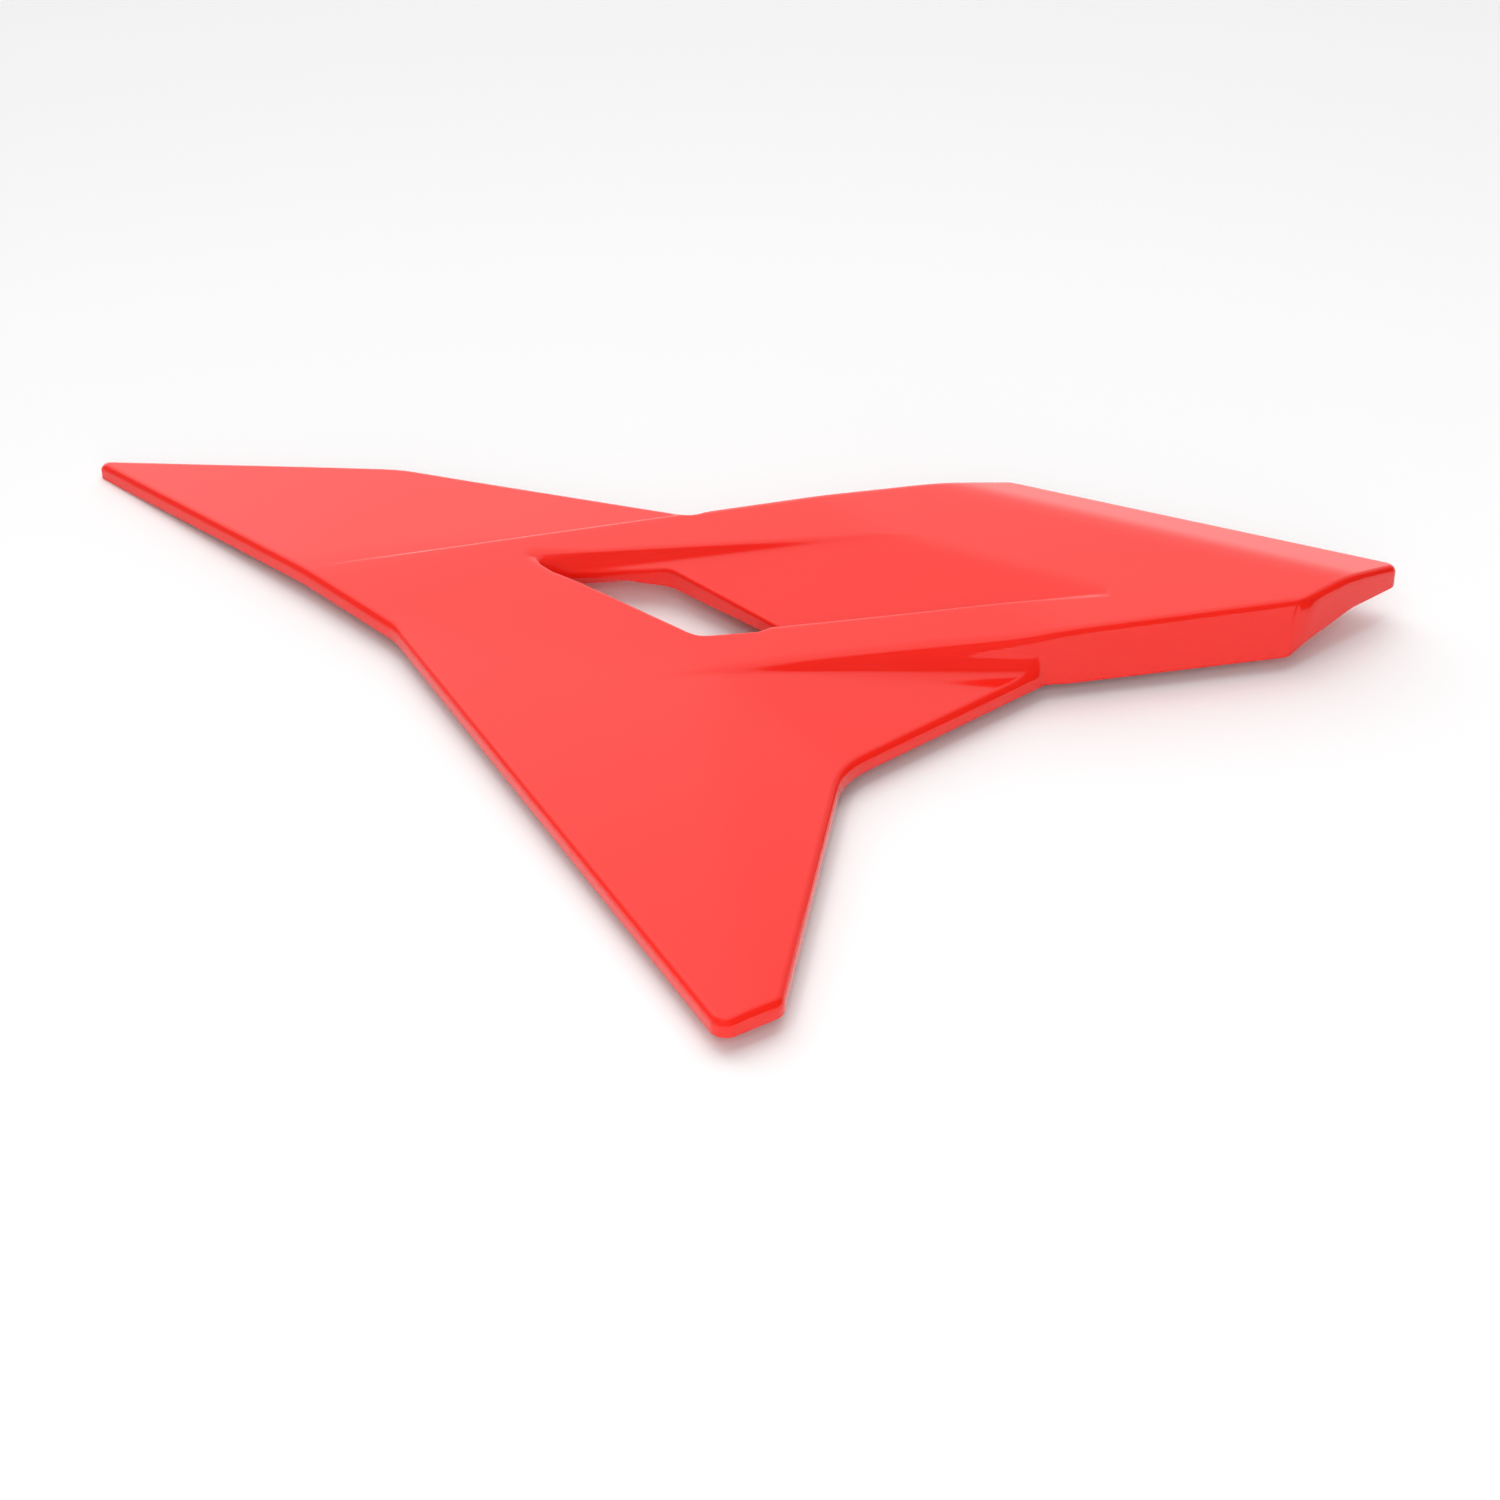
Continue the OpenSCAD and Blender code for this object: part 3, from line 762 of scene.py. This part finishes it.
def build_grommets():
    half = TAB_T / 2
    reach = half + FLANGE
    # From a shallow groove in the flange, over its rim and down to the neck
    line = [(GROMMET_R - 2.0, reach), (GROMMET_R - 1.7, reach - 0.25), (GROMMET_R - 1.4, reach)]
    for a in np.linspace(0, math.pi / 2, 6):
        line.append((GROMMET_R - 0.9 + 0.9 * math.sin(a), reach - 0.9 + 0.9 * math.cos(a)))
    line += [(GROMMET_R, half + 0.15), (GROMMET_R - 0.15, half), (NECK_R, half)]
    profile = [(COLLAR_R, -reach + 0.3), (COLLAR_R + 0.3, -reach)]
    profile += [(r, -h) for r, h in line] + line[::-1]
    profile += [(COLLAR_R + 0.3, reach), (COLLAR_R, reach - 0.3)]
    return lathe_in_tabs("rubber_grommets", profile)


def build_collars():
    reach = TAB_T / 2 + FLANGE
    top = reach + HEAD_T
    profile = [(COLLAR_BORE, -reach + 0.3), (COLLAR_BORE + 0.3, -reach), (COLLAR_R - 0.3, -reach),
               (COLLAR_R, -reach + 0.3), (COLLAR_R, reach), (HEAD_R - 0.25, reach),
               (HEAD_R, reach + 0.25), (HEAD_R, top - 0.35), (HEAD_R - 0.35, top),
               (COLLAR_BORE + 0.4, top), (COLLAR_BORE, top - 0.4)]
    return lathe_in_tabs("headed_collars", profile)


def clip_bend(shell, put, back, low, high):
    """The bend at the back, which joins the two leaves."""
    mid, outer = (low + high) / 2, (high - low) / 2 + CLIP_T
    inner = outer - CLIP_T
    steps = 13
    bend = []
    for radius, start in ((outer, -90), (inner, 90)):
        for a in np.linspace(start, -start, steps):
            c, s = math.cos(math.radians(a)), math.sin(math.radians(a))
            bend.append((back - 0.15 + 0.95 * c * radius / outer, mid + radius * s))
    n = len(bend)
    side = CLIP_W / 2 - 0.2
    rows = [shell.vertices(put([(s, y, z) for y, z in bend])) for s in (-side, side)]
    shell.band(rows[0], rows[1], n)
    for start, flip in zip(rows, (False, True)):
        faces = [(start + i, start + i + 1, start + n - 2 - i, start + n - 1 - i)
                 for i in range(steps - 1)]
        shell.add([f[::-1] if flip else f for f in faces])


def build_clips():
    shell = Shell()
    back = CLIP_TAB_START + CLIP_TAB_L + CLIP_GAP
    low, high = -CLIP_GAP, CLIP_TAB_T + CLIP_GAP
    neck_top = high + CLIP_T + 4.0
    mouth_r = CLIP_BORE_R + 0.4
    neck = [(CLIP_NECK_R, high), (CLIP_NECK_R, neck_top - 0.3), (CLIP_NECK_R - 0.3, neck_top),
            (mouth_r, neck_top)]
    neck += [(CLIP_BORE_R, h) for h in np.linspace(neck_top - 0.3, high + 0.3, 30)]
    neck += [(mouth_r, high)]

    def thread(a, r, h):
        pitch = 1.0
        inside = r < mouth_r and high + 0.4 < h < neck_top - 0.4
        return 0.18 * (1 + np.cos(a - 2 * math.pi * h / pitch)) * inside

    for p in CLIPS:
        def put(q, p=p):
            return placed(q, p[0], p[1], RIM + p[3], p[2])
        leaf = rounded_box(CLIP_W, CLIP_L - CLIP_T, 1.2)
        leaf[:, 1] += back + CLIP_T - CLIP_L
        plate(shell, leaf, [(0, CLIP_HOLE_Y, CLIP_HOLE_R)], low - CLIP_T, low, put, 0.12)
        plate(shell, leaf, [(0, CLIP_HOLE_Y, 3.0)], high, high + CLIP_T, put, 0.12)
        clip_bend(shell, put, back, low, high)
        lathe(shell, neck, lambda q: put(q + np.array([0, CLIP_HOLE_Y, 0])), 56, thread)
    return shell.object("spring_clip_nuts")


def build_pad(name, grids):
    """Soft pads from grids of x, y under the skin, with a rounded lower rim."""
    shell = Shell()
    for grid, edge in grids:
        n, m = grid.shape[:2]
        x, y = grid[:, :, 0].ravel(), grid[:, :, 1].ravel()
        dents = 0.06 * np.sin(1.9 * x + 0.7 * y) * np.sin(1.3 * y - 0.4 * x)
        round_off = 1.1 * np.exp(-edge.ravel() / 0.55)
        top = depth_height(x, y, WALL - 0.05)
        low = depth_height(x, y, WALL + FOAM_T) + dents + round_off + 0.06
        a = shell.vertices(np.column_stack([x, y, top]))
        b = shell.vertices(np.column_stack([x, y, low]))
        for i in range(n - 1):
            for j in range(m - 1):
                k = i * m + j
                shell.add([(a + k, a + k + m, a + k + m + 1, a + k + 1),
                           (b + k, b + k + 1, b + k + m + 1, b + k + m)])
        rim = list(range(m)) + [i * m + m - 1 for i in range(1, n)]
        rim += [(n - 1) * m + j for j in range(m - 2, -1, -1)]
        rim += [i * m for i in range(n - 2, 0, -1)]
        shell.add([(a + rim[i - 1], a + rim[i], b + rim[i], b + rim[i - 1])
                   for i in range(len(rim))])
    return shell.object(name)


def strip(start, end):
    """Grid of points over a foam strip, and their distance from its rim."""
    start, end = np.array(start, float), np.array(end, float)
    length = np.linalg.norm(end - start)
    run = (end - start) / length
    across = np.array([-run[1], run[0]])
    t = np.concatenate([RIM_STEPS, np.arange(2.2, length - 2, 1.3), (length - RIM_STEPS)[::-1]])
    u = np.concatenate([RIM_STEPS, np.arange(2.2, FOAM_W - 2, 0.9), (FOAM_W - RIM_STEPS)[::-1]])
    u -= FOAM_W / 2
    grid = start + t[:, None, None] * run + u[None, :, None] * across
    edge = np.minimum(np.minimum(t, length - t)[:, None], (FOAM_W / 2 - np.abs(u))[None, :])
    return grid, edge


def disc(x, y):
    """Grid of points over a round pad, and their distance from its rim."""
    radii = np.concatenate([[0.01], np.arange(1.0, PAD_R - 1.9, 1.0), (PAD_R - RIM_STEPS)[::-1]])
    a = np.linspace(0, 2 * math.pi, 49)
    grid = np.stack([x + radii[:, None] * np.cos(a), y + radii[:, None] * np.sin(a)], 2)
    return grid, np.repeat((PAD_R - radii)[:, None], len(a), 1)


def build_panel():
    shell = Shell()
    build_skin(shell)
    build_structure(shell)
    return shell.object("panel_skin")


PIECES = [
    (build_panel(), "outer_panel", "painted_skin"),
    (build_inserts(), "threaded_inserts", "brass"),
    (build_grommets(), "tab_grommets", "rubber"),
    (build_collars(), "grommet_collars", "zinc_steel"),
    (build_clips(), "clip_nuts", "spring_steel"),
    (build_pad("edge_foam_strip", [strip((-225, 166), (-134, 157))]), "edge_foam", "foam"),
    (build_pad("vent_gasket_strip", [strip((-69, 76.3), (-23, 37))]), "vent_gasket", "foam"),
    (build_pad("felt_pads", [disc(*p) for p in PADS]), "rattle_pads", "felt"),
]
for obj, name, finish in PIECES:
    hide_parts(name)
    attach(obj, "root")


# --------------------------------------------------------------- materials
def material(name):
    mat = bpy.data.materials.new(name)
    mat.use_nodes = True
    return mat, mat.node_tree.nodes, mat.node_tree.links, mat.node_tree.nodes["Principled BSDF"]


def node(nodes, kind, **values):
    made = nodes.new(kind)
    for key, value in values.items():
        made.inputs[key.replace("_", " ")].default_value = value
    return made


def ramp(nodes, links, source, low, high, first=0.35, last=0.7):
    """Colour ramp fed by a texture."""
    made = nodes.new("ShaderNodeValToRGB")
    made.color_ramp.elements[0].position = first
    made.color_ramp.elements[1].position = last
    made.color_ramp.elements[0].color = (*low, 1)
    made.color_ramp.elements[1].color = (*high, 1)
    links.new(source, made.inputs["Fac"])
    return made.outputs["Color"]


def spread(nodes, links, source, target, low, high, first=0.0, last=1.0):
    """Feeds a socket with a texture's values from first to last, as low to high."""
    made = node(nodes, "ShaderNodeMapRange",
                From_Min=first, From_Max=last, To_Min=low, To_Max=high)
    links.new(source, made.inputs["Value"])
    links.new(made.outputs["Result"], target)


def relief(nodes, links, height, shader, strength, distance):
    bump = node(nodes, "ShaderNodeBump", Strength=strength, Distance=distance)
    links.new(height, bump.inputs["Height"])
    links.new(bump.outputs["Normal"], shader.inputs["Normal"])


def paint():
    mat, nodes, links, shader = material("red_lacquer")
    shader.inputs["IOR"].default_value = 1.47
    place = nodes.new("ShaderNodeTexCoord")
    flow = node(nodes, "ShaderNodeTexNoise", Scale=9.0, Detail=3.0)
    dust = node(nodes, "ShaderNodeTexNoise", Scale=60.0, Detail=6.0)
    peel = node(nodes, "ShaderNodeTexNoise", Scale=420.0, Detail=2.0)
    for texture in (flow, dust, peel):
        links.new(place.outputs["Object"], texture.inputs["Vector"])
    tone = ramp(nodes, links, flow.outputs["Fac"], (0.90, 0.0165, 0.0085),
                (0.93, 0.0190, 0.0105), 0.0, 1.0)
    links.new(tone, shader.inputs["Base Color"])
    spread(nodes, links, dust.outputs["Fac"], shader.inputs["Roughness"], 0.07, 0.13, 0.3, 0.8)
    relief(nodes, links, peel.outputs["Fac"], shader, 0.02, 0.0002)
    return mat


def metal(name, low, high, scale, roughness, stretch=(1, 1, 1)):
    """Worked metal: tone, tool marks and wear."""
    mat, nodes, links, shader = material(name)
    shader.inputs["Metallic"].default_value = 1.0
    place = nodes.new("ShaderNodeTexCoord")
    turn = node(nodes, "ShaderNodeMapping", Scale=stretch)
    links.new(place.outputs["Object"], turn.inputs["Vector"])
    tone = node(nodes, "ShaderNodeTexNoise", Scale=scale, Detail=5.0)
    marks = node(nodes, "ShaderNodeTexNoise", Scale=scale * 6, Detail=3.0)
    for texture in (tone, marks):
        links.new(turn.outputs["Vector"], texture.inputs["Vector"])
    links.new(ramp(nodes, links, tone.outputs["Fac"], low, high), shader.inputs["Base Color"])
    spread(nodes, links, marks.outputs["Fac"], shader.inputs["Roughness"],
           roughness - 0.08, roughness + 0.12)
    relief(nodes, links, marks.outputs["Fac"], shader, 0.15, 0.0001)
    return mat


def soft(name, low, high, roughness, cell, depth, fuzz=0.0):
    """Rubber, foam or felt: pores or fibres over a mottled tone."""
    mat, nodes, links, shader = material(name)
    shader.inputs["Roughness"].default_value = roughness
    shader.inputs["Sheen Weight"].default_value = fuzz
    place = nodes.new("ShaderNodeTexCoord")
    tone = node(nodes, "ShaderNodeTexNoise", Scale=120.0, Detail=5.0)
    pores = node(nodes, "ShaderNodeTexVoronoi", Scale=cell)
    grain = node(nodes, "ShaderNodeTexNoise", Scale=cell * 2.5, Detail=4.0)
    for texture in (tone, pores, grain):
        links.new(place.outputs["Object"], texture.inputs["Vector"])
    links.new(ramp(nodes, links, tone.outputs["Fac"], low, high), shader.inputs["Base Color"])
    mix = nodes.new("ShaderNodeMath")
    mix.operation = "MULTIPLY"
    links.new(pores.outputs["Distance"], mix.inputs[0])
    links.new(grain.outputs["Fac"], mix.inputs[1])
    relief(nodes, links, mix.outputs["Value"], shader, 0.6, depth)
    return mat


FINISHES = {
    "painted_skin": paint(),
    "brass": metal("turned_brass", (0.50, 0.33, 0.11), (0.72, 0.52, 0.21), 300.0, 0.28),
    "rubber": soft("moulded_rubber", (0.018, 0.018, 0.019), (0.035, 0.035, 0.037), 0.62, 900.0,
                   0.00006),
    "zinc_steel": metal("zinc_plate", (0.50, 0.52, 0.55), (0.68, 0.69, 0.70), 220.0, 0.3),
    "spring_steel": metal("phosphated_spring_steel", (0.12, 0.125, 0.135), (0.24, 0.25, 0.27),
                          180.0, 0.42, (1, 3, 1)),
    "foam": soft("closed_cell_foam", (0.028, 0.028, 0.031), (0.05, 0.05, 0.054), 0.92, 1400.0,
                 0.00025),
    "felt": soft("pressed_felt", (0.05, 0.05, 0.055), (0.10, 0.10, 0.11), 0.95, 2200.0, 0.0003,
                 0.4),
}
for obj, _, finish in PIECES:
    obj.data.materials.append(FINISHES[finish])

# ------------------------------------------------------------ light, camera
world = bpy.data.worlds.new("studio")
bpy.context.scene.world = world
world.use_nodes = True
wn, wl = world.node_tree.nodes, world.node_tree.links
background = wn["Background"]
place = wn.new("ShaderNodeTexCoord")
split = wn.new("ShaderNodeSeparateXYZ")
wl.new(place.outputs["Generated"], split.inputs["Vector"])


def math_node(kind, a, b=0.0):
    made = wn.new("ShaderNodeMath")
    made.operation = kind
    for i, value in enumerate((a, b)):
        if isinstance(value, float):
            made.inputs[i].default_value = value
        else:
            wl.new(value, made.inputs[i])
    return made.outputs[0]


def graded(source, interpolation, **limits):
    """Map range node fed by a socket."""
    made = node(wn, "ShaderNodeMapRange", **limits)
    made.interpolation_type = interpolation
    wl.new(source, made.inputs["Value"])
    return made.outputs["Result"]


# Light from all round, brightest on the left and at the horizon
light = math_node("MULTIPLY", split.outputs["X"], -1.0)
light = math_node("ADD", light, math_node("MULTIPLY", split.outputs["Z"], 0.6))
light = math_node("ADD", light, 0.8)
horizon = math_node("POWER", math_node("SUBTRACT", 1.0, split.outputs["Z"]), 5.0)
light = math_node("ADD", light, math_node("MULTIPLY", horizon, 0.75))
light = math_node("MAXIMUM", light, 0.3)
# It is dark on the camera's side and at both ends, and dimmer overhead
side_on = math_node("MULTIPLY", math_node("ABSOLUTE", split.outputs["X"]), -0.9)
behind = graded(math_node("ADD", split.outputs["Y"], side_on), "SMOOTHSTEP",
                From_Min=-0.5, From_Max=0.1, To_Min=0.12, To_Max=1.0)
light = math_node("MULTIPLY", light, behind)
overhead = graded(split.outputs["Z"], "LINEAR",
                  From_Min=0.5, From_Max=0.68, To_Min=1.2, To_Max=0.92)
light = math_node("MULTIPLY", light, overhead)
wl.new(light, background.inputs["Strength"])
background.inputs["Color"].default_value = (1, 1, 1, 1)


def lamp(name, place, aim, size, power, glossy):
    """A soft square light. Where it isn't glossy it has no mirror image."""
    data = bpy.data.lights.new(name, "AREA")
    data.size = size
    data.energy = power
    obj = bpy.data.objects.new(name, data)
    obj.location = place
    obj.rotation_euler = (Vector(aim) - Vector(place)).to_track_quat("-Z", "Y").to_euler()
    obj.visible_glossy = glossy
    bpy.context.scene.collection.objects.link(obj)


lamp("front_fill", (0.1, -1.6, 0.9), (0, 0, 0), 1.6, 20.0, False)
lamp("top_fill", (0.0, 0.3, 1.8), (0, 0, 0), 2.0, 12.0, False)
lamp("small_key", (-0.55, -0.75, 1.5), (0, 0, 0), 0.1, 1.6, True)

floor_mesh = bpy.data.meshes.new("floor")
side, floor_z = 3.0, -0.0005
floor_mesh.from_pydata(
    [(-side, -side, floor_z), (side, -side, floor_z), (side, side, floor_z),
     (-side, side, floor_z)],
    [], [(0, 1, 2, 3)])
floor = bpy.data.objects.new("floor", floor_mesh)
bpy.context.scene.collection.objects.link(floor)
mat, nodes, links, shader = material("pale_floor")
shader.inputs["Base Color"].default_value = (0.95, 0.95, 0.95, 1)
shader.inputs["Roughness"].default_value = 0.9
shader.inputs["Specular IOR Level"].default_value = 0.0
floor_mesh.materials.append(mat)

cam_data = bpy.data.cameras.new("camera")
cam_data.lens = 81.07
cam_data.sensor_width = 36
cam = bpy.data.objects.new("camera", cam_data)
cam.location = (0.009, -1.01909, 0.70347)
aimed_at = Vector((0.009, -0.023, 0.006))
cam.rotation_euler = (aimed_at - cam.location).to_track_quat("-Z", "Y").to_euler()
bpy.context.scene.collection.objects.link(cam)
bpy.context.scene.camera = cam
bpy.context.scene.view_settings.view_transform = "Standard"
